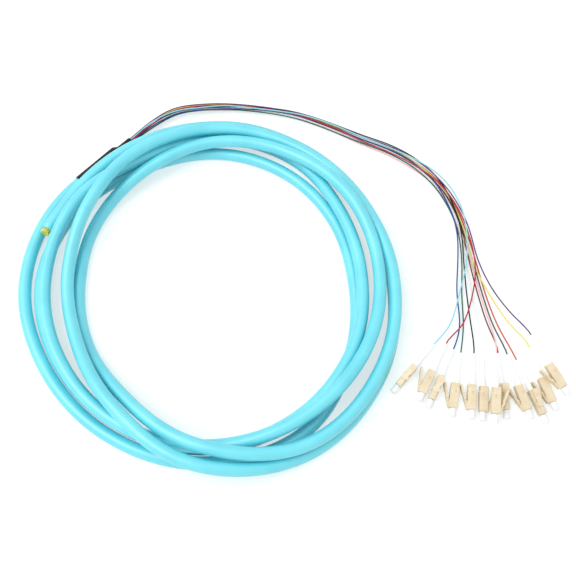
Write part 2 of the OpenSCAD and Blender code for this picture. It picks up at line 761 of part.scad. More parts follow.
module dust_cap_blue() { one_dust_cap(BLUE); }
module dust_cap_orange() { one_dust_cap(ORANGE); }
module dust_cap_green() { one_dust_cap(GREEN); }
module dust_cap_brown() { one_dust_cap(BROWN); }
module dust_cap_slate() { one_dust_cap(SLATE); }
module dust_cap_white() { one_dust_cap(WHITE); }
module dust_cap_red() { one_dust_cap(RED); }
module dust_cap_black() { one_dust_cap(BLACK); }
module dust_cap_yellow() { one_dust_cap(YELLOW); }
module dust_cap_violet() { one_dust_cap(VIOLET); }
module dust_cap_rose() { one_dust_cap(ROSE); }
module dust_cap_aqua() { one_dust_cap(AQUA); }

translate(frame_shift) {
    cable_jacket();
    heat_shrink_sleeve();
    aramid_yarn();
    ripcord();
    inner_fibers();
    boots();
    rear_bodies();
    springs();
    ferrule_flanges();
    ferrules();
    fiber_blue();
    fiber_orange();
    fiber_green();
    fiber_brown();
    fiber_slate();
    fiber_white();
    fiber_red();
    fiber_black();
    fiber_yellow();
    fiber_violet();
    fiber_rose();
    fiber_aqua();
    housing_blue();
    housing_orange();
    housing_green();
    housing_brown();
    housing_slate();
    housing_white();
    housing_red();
    housing_black();
    housing_yellow();
    housing_violet();
    housing_rose();
    housing_aqua();
    latch_blue();
    latch_orange();
    latch_green();
    latch_brown();
    latch_slate();
    latch_white();
    latch_red();
    latch_black();
    latch_yellow();
    latch_violet();
    latch_rose();
    latch_aqua();
    dust_cap_blue();
    dust_cap_orange();
    dust_cap_green();
    dust_cap_brown();
    dust_cap_slate();
    dust_cap_white();
    dust_cap_red();
    dust_cap_black();
    dust_cap_yellow();
    dust_cap_violet();
    dust_cap_rose();
    dust_cap_aqua();
}
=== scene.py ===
"""Looks of a twelve-fibre cable: coiled jacket, fan-out sleeve, twelve coloured fibres, LC connectors."""

import math

import bpy
import numpy as np
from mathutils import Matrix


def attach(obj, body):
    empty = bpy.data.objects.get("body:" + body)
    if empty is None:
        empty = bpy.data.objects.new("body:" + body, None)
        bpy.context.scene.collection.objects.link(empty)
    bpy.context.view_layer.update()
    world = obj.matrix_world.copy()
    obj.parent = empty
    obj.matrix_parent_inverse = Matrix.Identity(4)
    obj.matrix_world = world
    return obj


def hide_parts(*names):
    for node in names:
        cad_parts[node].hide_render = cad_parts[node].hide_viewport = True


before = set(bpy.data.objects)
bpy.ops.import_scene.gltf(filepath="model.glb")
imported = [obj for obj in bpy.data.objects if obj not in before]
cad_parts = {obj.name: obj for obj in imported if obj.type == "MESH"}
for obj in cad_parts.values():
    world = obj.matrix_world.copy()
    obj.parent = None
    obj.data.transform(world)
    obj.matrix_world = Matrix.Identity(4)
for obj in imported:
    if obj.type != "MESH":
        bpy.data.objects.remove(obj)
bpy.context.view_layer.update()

# ---- Sizes and places, in millimetres and degrees as the part's source has them ----

MM = 0.001
ROOT = "cable assembly"
# The fibres in the order of their colour code; every list by fibre has this order
COLORS = ["blue", "orange", "green", "brown", "slate", "white",
          "red", "black", "yellow", "violet", "rose", "aqua"]

# The photograph's width and focal length in pixels, and the camera's place and its tilt from straight down
IMAGE_SIZE = 576
FOCAL_LENGTH = 714
CAMERA_PLACE = (1.726, -209.498, 441.788)
CAMERA_TILT = 24
SENSOR_WIDTH = 36

# The jacket, with the flat that its lowest laps rest on and its straight runs before sleeve and cut end
JACKET_DIAMETER = 8.4
JACKET_WALL = 1.4
JACKET_BORE = JACKET_DIAMETER - 2 * JACKET_WALL
REST_FLAT_DEPTH = 0.8
REST_HEIGHT = JACKET_DIAMETER / 2 - REST_FLAT_DEPTH
SLEEVE_STRAIGHT = 2
CUT_STRAIGHT = 21
CUT_END_DEPTH = 12
LIP_ROUNDING = 0.12

# The fibres, and the two rings in which they lie inside the sleeve and the cable
FIBER_DIAMETER = 0.9
FIBER_PITCH = 1.05
NEST_GAP = 0.02
RING_GAP = 0.1
INNER_RING = (FIBER_DIAMETER + NEST_GAP) / (2 * math.sin(math.radians(60)))
OUTER_RING = INNER_RING + FIBER_DIAMETER + RING_GAP
BUNDLE_DIAMETER = 2 * OUTER_RING + FIBER_DIAMETER

# The yarn at the cut end: splay in millimetres and twist in degrees, each as mean and spread
YARN_OVERHANG = 2.5
YARN_INNER = BUNDLE_DIAMETER / 2 + 0.1
YARN_OUTER = JACKET_BORE / 2 - 0.15
YARN_WIDEST = JACKET_BORE / 2 + 0.8
YARN_SPLAY = (0.25, 0.18)
YARN_TWIST = (0, 3)
YARN_SEED = 12
STRAND_COUNT = 230
STRAND_RADIUS = 0.14

# The fibre ends and the ripcord beside them, of which less stands out than of the yarn
STUB_OVERHANG = 1.5
STUB_SHOWN = 0.6 * STUB_OVERHANG
RIPCORD_DIAMETER = 0.5
RIPCORD_RING = (BUNDLE_DIAMETER + JACKET_BORE) / 4
RIPCORD_WAVER = 0.06
PLY_RADIUS = 0.6 * (RIPCORD_DIAMETER / 2 - 0.03)
PLY_OFFSET = 0.02
PLY_PHASES = (0, 2.1, 4.2)

# The sleeve: its grip on the jacket, its cone and its nose over the fibres
SLEEVE_DIAMETER = 9.6
SLEEVE_NOSE_DIAMETER = 5.4
SLEEVE_GRIP = 34
SLEEVE_CONE = 5
SLEEVE_NOSE = 10
SLEEVE_LENGTH = SLEEVE_GRIP + SLEEVE_CONE + SLEEVE_NOSE
SLEEVE_WALL = 0.5
# Its rear edge, which starts a little inside against the jacket, and its nose, of which some bore shows
SLEEVE_LEAD_IN = 0.3
SLEEVE_GAP = 0.05
SLEEVE_REAR_EDGE = 0.15
NOSE_EDGE = 0.12
NOSE_BORE_SHOWN = 6
# The fibres' lumps under its nose, slightly twisted, and the puckers round its grip
LUMP_HEIGHT = 0.1
LUMP_COUNT = 9
LUMP_TWIST = 0.25
PUCKER_HEIGHT = 0.06
PUCKER_RATE = 1.9

# The connectors, along the ferrule's axis from the housing's rear face
HOUSING_LENGTH = 16.4
HOUSING_WIDTH = 4.5
HOUSING_BELOW = 2.35
LATCH_SHOULDER_WIDTH = 4.9
CAP_DIAMETER = 4.4
NOSE_BORE_DEPTH = 6.2
STOP_WALL = 1
FLANGE_LENGTH = 2
FERRULE_INSET = 0.6
FERRULE_REAR = HOUSING_LENGTH - NOSE_BORE_DEPTH - STOP_WALL - FLANGE_LENGTH + FERRULE_INSET
COLLAR_THICKNESS = 1
BOOT_LENGTH = 20
BOOT_REAR = -COLLAR_THICKNESS - BOOT_LENGTH
# Behind the boot: where a fibre comes in line with it, its last free knot, and its straight run into it
FIBER_LEAD = 6
FIBER_ENTRY = 1.5
BOOT_LEAD = 0.5

# The lugs in the side windows, with their depths below the housing's side at the rear, front and inside
WINDOW_LENGTH = 1.9
WINDOW_PLACE = 5.5
LUG_HEIGHT = 0.56
LUG_REAR_DEPTH = 0.26
LUG_FRONT_DEPTH = 0.1
LUG_INNER_DEPTH = 0.73

# Edges that a bevel softens
HOUSING_EDGE = 0.1
LATCH_EDGE = 0.08
LUG_EDGE = 0.06
SHARP_ANGLE = 35
WELD_DISTANCE = 0.002

# The move that centres the whole part on the origin, and the coil's middle before that move
FRAME_SHIFT = np.array([-1.45, 0.83, 0])
COIL_CENTRE = (-49, -8.5)
# The coil, lap by lap from the sleeve: the cable's distance from the coil's middle at twelve directions
# 30 degrees apart, from 120 degrees on, and its lift off the table there
COIL_RADIUS = [
    116.5, 124, 125, 121, 121, 123, 121.5, 107, 96.5, 95.5, 98, 101,
    102.5, 110.5, 114, 112, 112, 114, 112.5, 107.5, 101, 101, 110, 111,
    104.5, 107.8, 109, 109.5, 112.5, 114.5, 115.5, 115, 112.5, 110, 108, 103,
    95, 92.5, 88.5, 91, 97.5, 116, 130.5, 128.5, 122, 117, 116.5, 113.5,
    105, 96.5, 94.2, 95.5, 106.5, 127, 134, 130, 122.5, 121, 122.5, 125,
    117, 115.5, 116.5,
]
COIL_LIFT = [
    1.4, 1.4, 0, 0, 0, 0, 0, 0, 0, 0, 0, 0,
    0, 0, 0, 0, 0, 0, 5.4, 9.6, 8, 7.4, 1.8, 4.6,
    10.2, 13.2, 8.2, 9, 9.2, 9.2, 14, 15.2, 11.4, 15.6, 11.4, 12,
    9, 0.6, 0, 0, 10.6, 18.6, 10.8, 9.2, 9, 8.3, 8.6, 13.2,
    19.8, 18, 8.4, 8.8, 17, 16.8, 0.6, 0, 0, 0, 0, 0,
    9.6, 8.2, 7.6,
]
COIL_FIRST_DIRECTION = 120
COIL_KNOT_ANGLE = 30
# The coiled run starts and ends in these directions, counted on over the laps
COIL_START = COIL_FIRST_DIRECTION + 23
COIL_END = COIL_FIRST_DIRECTION + 5 * 360 + 33

# The loose bundle from the sleeve to where it fans out: place of its middle, at its lowest fibres
TRUNK = [
    [-98, 118, 3.4], [-82, 129.5, 3.2], [-64, 134, 2.6], [-44, 135.5, 2.2], [-24, 134.5, 1.8],
    [-3, 131.5, 1.2], [14, 127, 0.7], [34, 118.5, 0.5], [57, 106.5, 0.5], [77, 98, 0.5],
    [95, 86.5, 0.5], [110, 71, 0.5], [119.5, 52, 0.5], [125, 30, 0.5],
]
# The level on which each fibre lies in the bundle: fibres cross only between levels
LEVEL_OF = [2, 0, 1, 1, 0, 1, 3, 2, 1, 3, 0, 4]
# How far each fibre lies outwards of the bundle's middle at those places
WEAVE = [
    [-2, -2.5, -3, -3, -2, -1, -1, -0.5, 0, -0.5, -1, -2, -3, -4],
    [3, 3, 3.5, 3, 2.5, 2.5, 2, 1.5, 1.5, 1, 1.5, 2, 2.5, 3],
    [-2.5, -2.5, -2.5, -2.5, -3, -3, -3, -3, -2.5, -3, -3.5, -4, -3.5, -3],
    [0.5, 0.5, 0.5, 0.5, 0, 0, 0, 0, 0.5, 0, -0.5, -1, -0.5, 0],
    [1.5, 1, 1.5, 1.5, 1, 1, 0.5, 0, -0.5, -1, -1, -0.5, 0.5, 1],
    [-1, -1, -1, -1, -1.5, -1.5, -1.5, -1.5, -1, -1.5, -2, -2.5, -2, -1.5],
    [-1, 0, 0, -0.5, -1, -1, -1, -1, -2, -3.5, -3, -1, 1.5, 3],
    [0, -0.5, -1, -1, 0, 1.5, 2, 2.5, 3.5, 3.5, 3, 2, 0.5, -1],
    [2.5, 2.5, 2, 2, 1.5, 1.5, 1.5, 1.5, 2.5, 1.5, 1, 0.5, 1, 1.5],
    [1.5, 2, 1.5, 1, 0.5, 0.5, 1, 1.5, 1.5, 1.5, 1.5, 1.5, 3, 4.5],
    [0, -0.5, -1.5, -2.5, -1.5, -0.5, -1, -2, -3, -4, -4.5, -3, -2.5, -2],
    [0, -1.5, -2.5, -1.5, -2.5, -2, -0.5, 0.5, 0.5, -0.5, 1, 3.5, 4.5, 2.5],
]
# Nests inside the sleeve and the cable, as ring (0 inner, 1 outer) and direction, and each fibre's nest
NESTS = [
    [1, 20], [1, 340], [1, 57], [1, 303], [0, 60], [0, 300],
    [1, 97], [1, 263], [1, 136], [0, 180], [1, 184], [1, 226],
]
NEST_OF = [9, 1, 10, 5, 3, 11, 8, 4, 0, 2, 7, 6]
# Each fibre's own way through the fan
FAN = [
    [[119.5, 5.5, 2.6], [116.5, -17.5, 2.6], [116.5, -40.5, 2.6]],
    [[132.5, 5.5, 0.5], [136, -17.5, 0.5], [141.5, -40.5, 0.6]],
    [[122.5, 5.5, 1.6], [120, -17.5, 1.6], [119, -40.5, 1.6]],
    [[127.5, 5.5, 1.6], [130.5, -17.5, 1.6], [134.5, -40.5, 1.8]],
    [[130.5, 5.5, 0.5], [134, -17.5, 0.5], [138.5, -40.5, 0.6]],
    [[125.5, 5.5, 1.6], [126.5, -17.5, 1.6], [128.5, -40.5, 1.6]],
    [[131, 4, 3.7], [127, -19, 3.7], [118, -42, 3.7]],
    [[123.5, 5.5, 2.6], [123, -17.5, 2.6], [123.5, -40.5, 2.6]],
    [[130, 5, 1.6], [138, -18, 1.6], [149.5, -41, 1.8]],
    [[133, 5.5, 3.7], [140.5, -17.5, 4.5], [150.5, -38.5, 9.5]],
    [[129, 5.5, 0.8], [131.5, -17.5, 3], [133, -41, 11]],
    [[125, 4.5, 4.7], [118, -18.5, 4.7], [110, -41.5, 4]],
]
# Height of the ferrule's axis over the table for a connector that lies on its side or its back
TABLE_GAP = 0.05
SIDE_HEIGHT = LATCH_SHOULDER_WIDTH / 2 + TABLE_GAP
BACK_HEIGHT = max(HOUSING_BELOW, CAP_DIAMETER / 2) + TABLE_GAP
# Connectors: place of the housing's rear face, the way it points, its roll (0 latch up, 90 latch to
# the left, -90 to the right) and its nose-down pitch
CONNECTORS = [
    [[100.8, -77.2, BACK_HEIGHT], -117, 0, 0],
    [[157, -85.7, BACK_HEIGHT], -72, 0, 0],
    [[110.2, -81.4, SIDE_HEIGHT], -103, 90, 0],
    [[139.3, -82, BACK_HEIGHT], -89.5, 0, 0],
    [[149.7, -82.4, SIDE_HEIGHT], -77, 90, 0],
    [[126.7, -83.3, SIDE_HEIGHT], -96.5, -90, 0],
    [[96, -73.2, SIDE_HEIGHT], -118.5, 90, 0],
    [[120.5, -82.2, SIDE_HEIGHT], -98, 90, 0],
    [[165.3, -77.5, SIDE_HEIGHT], -75, 90, 0],
    [[168.5, -70.3, SIDE_HEIGHT + 6.7], -62, 90, 8],
    [[131.9, -86.4, SIDE_HEIGHT + 9.7], -95, -90, 12],
    [[83.9, -70.6, BACK_HEIGHT], -132, 0, 0],
]

# How finely the shown tubes are divided: sides round them, and rings along them
JACKET_SIDES = 40
FIBER_SIDES = 14
SLEEVE_SIDES = 48
STRAND_SIDES = 5
PLY_SIDES = 8
JACKET_RING_ANGLE = 2
SLEEVE_RUN_RINGS = 6
CUT_RUN_RINGS = 5
FIBER_RINGS = 30
FIBER_STEPS = 4
GRIP_RING_STEP = 1.0
CONE_RINGS = 13
NOSE_RING_STEP = 0.8
RIPCORD_RINGS = 12
# Over what length a fibre's kinks are rounded off, and the step in which that is worked out
EASE_REACH = 5
EASE_STEP = 1


# ---- Curves ----

def unit(v):
    return v / np.linalg.norm(v)


def spline(points, counts):
    """Smooth curve through evenly counted points, at each count."""
    v = np.asarray(points, float).reshape(len(points), -1)
    v = np.vstack([2 * v[0] - v[1], v, 2 * v[-1] - v[-2]])
    counts = np.atleast_1d(np.asarray(counts, float))
    i = np.clip(np.floor(counts).astype(int), 0, len(points) - 2)
    f = (counts - i)[:, None]
    a, b, c, d = v[i], v[i + 1], v[i + 2], v[i + 3]
    return 0.5 * (2 * b + (c - a) * f + (2 * a - 5 * b + 4 * c - d) * f**2
                  + (3 * b - a - 3 * c + d) * f**3)


def coil_at(angles):
    """Middle of the coiled cable in some directions, counted on over the laps."""
    angles = np.atleast_1d(np.asarray(angles, float))
    t = (angles - COIL_FIRST_DIRECTION) / COIL_KNOT_ANGLE
    r = spline(COIL_RADIUS, t)[:, 0]
    lift = np.maximum(0, spline(COIL_LIFT, t)[:, 0])
    a = np.radians(angles)
    x = COIL_CENTRE[0] + r * np.cos(a)
    y = COIL_CENTRE[1] + r * np.sin(a)
    return np.stack([x, y, REST_HEIGHT + lift], 1)


start_run = coil_at(COIL_START)[0] - coil_at(COIL_START + 1)[0]
START_WAY = unit(start_run * [1, 1, 0])
CUT_WAY = unit(coil_at(COIL_END)[0] - coil_at(COIL_END - 1)[0])
SLEEVE_REAR = coil_at(COIL_START)[0] + SLEEVE_STRAIGHT * START_WAY
JACKET_START = SLEEVE_REAR + SLEEVE_GRIP * START_WAY
CUT_PLACE = coil_at(COIL_END)[0] + CUT_STRAIGHT * CUT_WAY


def to_row(points):
    """From the layout's millimetres to metres in the shared frame."""
    return (np.asarray(points, float) + FRAME_SHIFT) * MM


def straight(a, b, count):
    """Points from a towards b, without b."""
    return a + (b - a) * np.linspace(0, 1, count, endpoint=False)[:, None]


def jacket_path():
    """Middle of the jacket: straight in the sleeve, round the laps, and straight to the cut end."""
    coil = coil_at(np.arange(COIL_START, COIL_END + JACKET_RING_ANGLE / 2, JACKET_RING_ANGLE))
    in_sleeve = straight(JACKET_START, coil[0], SLEEVE_RUN_RINGS)
    to_cut = straight(coil[-1], CUT_PLACE, CUT_RUN_RINGS)
    return np.vstack([in_sleeve, coil[:-1], to_cut, CUT_PLACE])


def nest_place(nest):
    """A nest's place across the bundle, to the left and up."""
    ring, direction = NESTS[nest]
    r = OUTER_RING if ring else INNER_RING
    return r * math.cos(math.radians(direction)), r * math.sin(math.radians(direction))


def left_of(way):
    return unit(np.array([-way[1], way[0], 0]))


def trunk_point(place, index):
    """A fibre at one place of the loose bundle."""
    ahead = np.array(TRUNK[min(place + 1, len(TRUNK) - 1)], float)
    behind = np.array(TRUNK[max(place - 1, 0)], float)
    outwards = WEAVE[index][place] * left_of(ahead - behind)
    return TRUNK[place] + outwards + [0, 0, LEVEL_OF[index] * FIBER_PITCH]


def sleeve_point(index, distance):
    """A fibre inside the sleeve, at a distance from the jacket's end."""
    across, up = nest_place(NEST_OF[index])
    return JACKET_START + distance * START_WAY + across * left_of(START_WAY) + [0, 0, up]


def turned(point, degrees, axis):
    """A point turned about X, Y or Z."""
    c, s = math.cos(math.radians(degrees)), math.sin(math.radians(degrees))
    x, y, z = point
    if axis == "X":
        return np.array([x, y * c - z * s, y * s + z * c])
    if axis == "Y":
        return np.array([x * c + z * s, y, z * c - x * s])
    return np.array([x * c - y * s, x * s + y * c, z])


def connector_point(index, point):
    """A place in a connector's own frame: forward along the ferrule, across, towards the latch."""
    place, heading, roll, pitch = CONNECTORS[index]
    return place + turned(turned(turned(point, roll, "X"), pitch, "Y"), heading, "Z")


def fiber_path(index):
    """Middle of a fibre: through the sleeve, the loose bundle and the fan to its ferrule."""
    knots = [sleeve_point(index, SLEEVE_LENGTH - SLEEVE_GRIP)]
    knots += [trunk_point(j, index) for j in range(len(TRUNK))]
    knots += FAN[index]
    knots += [connector_point(index, (BOOT_REAR - lead, 0, 0)) for lead in (FIBER_LEAD, FIBER_ENTRY)]
    counts = np.linspace(0, len(knots) - 1, FIBER_RINGS * FIBER_STEPS + 1)
    in_sleeve = [sleeve_point(index, 0), knots[0] - START_WAY]
    in_boot = [connector_point(index, (x, 0, 0)) for x in (BOOT_REAR - BOOT_LEAD, FERRULE_REAR)]
    return np.vstack([in_sleeve, spline(knots, counts), in_boot])


def eased(path, kept):
    """The path with its kinks rounded off as a springy fibre does, but for its last straight stretch."""
    stops = np.concatenate([[0], np.cumsum(np.linalg.norm(np.diff(path, axis=0), axis=1))])
    at = np.linspace(0, stops[-1], int(stops[-1] / EASE_STEP) + 1)
    plain = np.stack([np.interp(at, stops, path[:, k]) for k in range(3)], 1)
    step = at[1]
    reach = int(3 * EASE_REACH / step)
    weights = np.exp(-0.5 * (np.arange(-reach, reach + 1) * step / EASE_REACH)**2)
    weights /= weights.sum()
    longer = np.vstack([2 * plain[0] - plain[reach:0:-1], plain, 2 * plain[-1] - plain[-2:-reach - 2:-1]])
    soft = np.stack([np.convolve(longer[:, k], weights, "valid") for k in range(3)], 1)
    free = np.clip((stops[-1] - kept - at) / EASE_REACH, 0, 1)[:, None]
    mixed = plain + (soft - plain) * free * free * (3 - 2 * free)
    return np.vstack([mixed[:-1:2], mixed[-1]])


# ---- Meshes ----

def turns(sides):
    """The angles of a tube's sides, in radians."""
    return 2 * math.pi * np.arange(sides) / sides


def rings_round(path, radius, sides):
    """Rings of points round a path that never runs straight up, all of one radius."""
    way = np.vstack([path[1] - path[0], path[2:] - path[:-2], path[-1] - path[-2]])
    way /= np.linalg.norm(way, axis=1)[:, None]
    side = np.cross(way, [0, 0, 1])
    side /= np.linalg.norm(side, axis=1)[:, None]
    up = np.cross(side, way)
    a = turns(sides)
    out = np.cos(a)[None, :, None] * side[:, None] + np.sin(a)[None, :, None] * up[:, None]
    return path[:, None] + radius * out


def rings_on_line(start, way, along, radii, sides):
    """Rings round a line; radii has one row for each ring and one column, or one for each side."""
    side = unit(np.cross(way, [0, 0, 1]))
    up = np.cross(side, way)
    a = turns(sides)
    out = np.cos(a)[:, None] * side + np.sin(a)[:, None] * up
    return (start + along[:, None] * way)[:, None] + radii[:, :, None] * out


def add_object(name, data):
    """Puts a mesh, camera or lamp into the scene."""
    thing = bpy.data.objects.new(name, data)
    bpy.context.scene.collection.objects.link(thing)
    return thing


def skin(name, ring_sets, materials, ring_distance=None, caps=(True, True)):
    """One mesh of one or more tubes, each a stack of rings, with UVs in metres along and turns round."""
    points, faces, uvs, indices = [], [], [], []
    start = 0
    for set_index, rings in enumerate(ring_sets):
        count, sides, _ = rings.shape
        if ring_distance is None:
            steps = np.linalg.norm(np.diff(rings.mean(1), axis=0), axis=1)
            along = np.concatenate([[0], np.cumsum(steps)]) * MM
        else:
            along = ring_distance * MM
        points.append(rings.reshape(-1, 3))
        for i in range(count - 1):
            for k in range(sides):
                n = (k + 1) % sides
                a, b = start + i * sides, start + (i + 1) * sides
                faces.append((a + k, a + n, b + n, b + k))
                turn, next_turn = k / sides, (k + 1) / sides
                uvs += [(along[i], turn), (along[i], next_turn),
                        (along[i + 1], next_turn), (along[i + 1], turn)]
                indices.append(set_index % len(materials))
        for shown, i, order in ((caps[0], 0, -1), (caps[1], count - 1, 1)):
            if shown:
                loop = [start + i * sides + k for k in range(sides)][::order]
                faces.append(tuple(loop))
                uvs += [(along[i], k / sides) for k in range(sides)]
                indices.append(set_index % len(materials))
        start += count * sides
    mesh = bpy.data.meshes.new(name)
    mesh.from_pydata(to_row(np.vstack(points)).tolist(), [], faces)
    layer = mesh.uv_layers.new(name="along")
    layer.data.foreach_set("uv", np.array(uvs, np.float32).ravel())
    for material in materials:
        mesh.materials.append(material)
    mesh.polygons.foreach_set("material_index", indices)
    mesh.polygons.foreach_set("use_smooth", [len(f) == 4 for f in faces])
    mesh.update()
    return add_object(name, mesh)


def soften(piece, width):
    """Rounds a piece's sharp edges."""
    bevel = piece.modifiers.new("bevel", "BEVEL")
    bevel.width = width * MM
    bevel.segments = 2
    bevel.limit_method = "ANGLE"
    bevel.angle_limit = math.radians(SHARP_ANGLE)


def stand_in(piece, node):
    """Puts a piece on the cable's own body in place of a CAD node."""
    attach(piece, ROOT)
    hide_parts(node)


# ---- Materials ----

# Each material's colour wanders between two shades, as the screen shows them
SHADES = {
    "jacket": ("#58cfe0", "#68dcea"), "sleeve": ("#0e1011", "#1b1e1f"), "yarn": ("#f2e83a", "#fffa86"),
    "ripcord": ("#d8702c", "#ee8c44"), "housing": ("#dfcfb0", "#e9dabc"), "boot": ("#fafaf8", "#ffffff"),
    "cap": ("#f8fafa", "#ffffff"), "zirconia": ("#f2efe8", "#fbf9f4"), "nickel": ("#b8babc", "#d6d8da"),
    "steel": ("#8c9094", "#b4b8bc"),
}
BUFFER_SHADES = {
    "blue": ("#183c86", "#22499c"), "orange": ("#c8482a", "#d85a38"), "green": ("#075440", "#0e6650"),
    "brown": ("#5e2a20", "#703628"), "slate": ("#3a4148", "#4a525a"), "white": ("#f0f0ec", "#fbfbf8"),
    "red": ("#aa1c34", "#c02a46"), "black": ("#050506", "#0c0c0e"), "yellow": ("#e4d65c", "#f0e27a"),
    "violet": ("#5a3468", "#6a427a"), "rose": ("#f2b2b2", "#f8c4c4"), "aqua": ("#8ccfd8", "#a0dbe2"),
}
# The part of the noise's range over which the colour changes
DRIFT_SPAN = (0.32, 0.68)


def linear(hex_color):
    """A colour as the screen shows it, for a shader's socket."""
    parts = [int(hex_color[i:i + 2], 16) / 255 for i in (1, 3, 5)]
    return tuple(p / 12.92 if p <= 0.04045 else ((p + 0.055) / 1.055) ** 2.4 for p in parts) + (1,)


def new_material(name):
    material = bpy.data.materials.new(name)
    material.use_nodes = True
    nodes = material.node_tree.nodes
    return material, nodes, material.node_tree.links, nodes["Principled BSDF"]


def add_node(nodes, kind, **values):
    """A node with some of its sockets or settings given by name."""
    node = nodes.new(kind)
    for key, value in values.items():
        if key in node.inputs:
            node.inputs[key].default_value = value
        else:
            setattr(node, key, value)
    return node


def put(shader, values):
    """Sets a shader's sockets by name."""
    for name, value in values.items():
        shader.inputs[name].default_value = value


def on_object(nodes):
    return add_node(nodes, "ShaderNodeTexCoord").outputs["Object"]


def along_cord(nodes):
    return add_node(nodes, "ShaderNodeUVMap", uv_map="along").outputs["UV"]


def noise(nodes, links, vector, **values):
    """A noise texture's value at some coordinates."""
    node = add_node(nodes, "ShaderNodeTexNoise", **values)
    links.new(vector, node.inputs["Vector"])
    return node.outputs["Fac"]


def stretched_noise(nodes, links, vector, stretch):
    """A noise drawn out in one direction of a tube's skin."""
    mapping = add_node(nodes, "ShaderNodeMapping", Scale=stretch)
    links.new(vector, mapping.inputs["Vector"])
    return noise(nodes, links, mapping.outputs["Vector"], Scale=1, Detail=3)


def ranged(nodes, links, value, low, high):
    """A value from 0 to 1 spread over another range."""
    node = add_node(nodes, "ShaderNodeMapRange", **{"To Min": low, "To Max": high})
    links.new(value, node.inputs["Value"])
    return node.outputs["Result"]


def bump(nodes, links, height, strength, depth, before=None):
    """A normal for some height, of a depth in metres, on top of an earlier bump if there is one."""
    node = add_node(nodes, "ShaderNodeBump", Strength=strength, Distance=depth)
    links.new(height, node.inputs["Height"])
    if before is not None:
        links.new(before, node.inputs["Normal"])
    return node.outputs["Normal"]


def drifting(nodes, links, shader, vector, shades, scale, roughness, detail=4):
    """Colour that wanders between two shades, and a roughness that wanders with it."""
    drift = noise(nodes, links, vector, Scale=scale, Detail=detail, Roughness=0.55)
    ramp = add_node(nodes, "ShaderNodeValToRGB")
    for element, place, shade in zip(ramp.color_ramp.elements, DRIFT_SPAN, shades):
        element.position = place
        element.color = linear(shade)
    links.new(drift, ramp.inputs["Fac"])
    links.new(ramp.outputs["Color"], shader.inputs["Base Color"])
    links.new(ranged(nodes, links, drift, *roughness), shader.inputs["Roughness"])
    return drift


def grained(nodes, links, shader, vector, scale, strength, depth, before=None):
    """Fine unevenness all over the surface."""
    grain = noise(nodes, links, vector, Scale=scale, Detail=2)
    links.new(bump(nodes, links, grain, strength, depth, before), shader.inputs["Normal"])


def moulded_plastic(name, shades, roughness, grain, scatter=0.0):
    """Injection-moulded plastic: faint colour drift, fine spark-eroded grain, uneven gloss."""
    material, nodes, links, shader = new_material(name)
    where = on_object(nodes)
    drifting(nodes, links, shader, where, shades, scale=160,
             roughness=(roughness - 0.06, roughness + 0.08))
    grained(nodes, links, shader, where, scale=grain, strength=0.35, depth=0.00001)
    if scatter:
        put(shader, {"Subsurface Weight": scatter, "Subsurface Radius": (1, 0.8, 0.6),
                     "Subsurface Scale": 0.0006})
    return material


def jacket_material():
    """Extruded cable jacket: drawn lines along it, faint grain, satin skin with a soft sheen."""
    material, nodes, links, shader = new_material("jacket")
    where = on_object(nodes)
    drifting(nodes, links, shader, where, SHADES["jacket"], scale=40, roughness=(0.38, 0.5))
    lines = stretched_noise(nodes, links, along_cord(nodes), stretch=(12, 40, 1))
    drawn = bump(nodes, links, lines, strength=0.25, depth=0.00004)
    grained(nodes, links, shader, where, scale=1800, strength=0.2, depth=0.00001, before=drawn)
    put(shader, {"Specular IOR Level": 0.95, "Coat Weight": 0.8, "Coat Roughness": 0.45})
    return material


def fiber_material(color_name):
    """Tight buffer: glossy extruded skin with faint drift along the fibre."""
    material, nodes, links, shader = new_material("buffer_" + color_name)
    drift = drifting(nodes, links, shader, along_cord(nodes), BUFFER_SHADES[color_name],
                     scale=60, roughness=(0.34, 0.46), detail=3)
    links.new(bump(nodes, links, drift, strength=0.15, depth=0.00002), shader.inputs["Normal"])
    put(shader, {"Specular IOR Level": 0.3})
    return material


def shrink_material():
    """Heat-shrink tube: dull black with soft wrinkles round it."""
    material, nodes, links, shader = new_material("shrink_black")
    drifting(nodes, links, shader, on_object(nodes), SHADES["sleeve"], scale=220, roughness=(0.45, 0.65))
    folds = stretched_noise(nodes, links, along_cord(nodes), stretch=(700, 3, 1))
    links.new(bump(nodes, links, folds, strength=0.5, depth=0.00012), shader.inputs["Normal"])
    put(shader, {"Specular IOR Level": 0.25})
    return material


def yarn_material():
    """Aramid: fine bright strands that let some light through."""
    material, nodes, links, shader = new_material("aramid")
    drifting(nodes, links, shader, on_object(nodes), SHADES["yarn"], scale=900, roughness=(0.45, 0.65))
    put(shader, {"Sheen Weight": 0.4, "Subsurface Weight": 0.5, "Subsurface Radius": (1, 0.9, 0.3),
                 "Subsurface Scale": 0.0004})
    return material


def cap_material():
    """Soft clear-white polyethylene cap."""
    material = moulded_plastic("cap_clear_white", SHADES["cap"], roughness=0.28, grain=1500)
    put(material.node_tree.nodes["Principled BSDF"], {"Transmission Weight": 0.12, "IOR": 1.3})
    return material


def metal(name, shades, roughness, grain):
    """Turned or drawn metal with fine machining marks."""
    material, nodes, links, shader = new_material(name)
    where = on_object(nodes)
    drifting(nodes, links, shader, where, shades, scale=500,
             roughness=(roughness - 0.05, roughness + 0.08))
    grained(nodes, links, shader, where, scale=grain, strength=0.2, depth=0.000005)
    put(shader, {"Metallic": 1})
    return material


# ---- Camera ----

def make_camera():
    """The photograph's view."""
    data = bpy.data.cameras.new("camera")
    data.sensor_width = SENSOR_WIDTH
    data.lens = SENSOR_WIDTH * FOCAL_LENGTH / IMAGE_SIZE
    camera = add_object("camera", data)
    camera.location = [x * MM for x in CAMERA_PLACE]
    camera.rotation_euler = (math.radians(CAMERA_TILT), 0, 0)
    bpy.context.scene.camera = camera


# ---- Cords ----


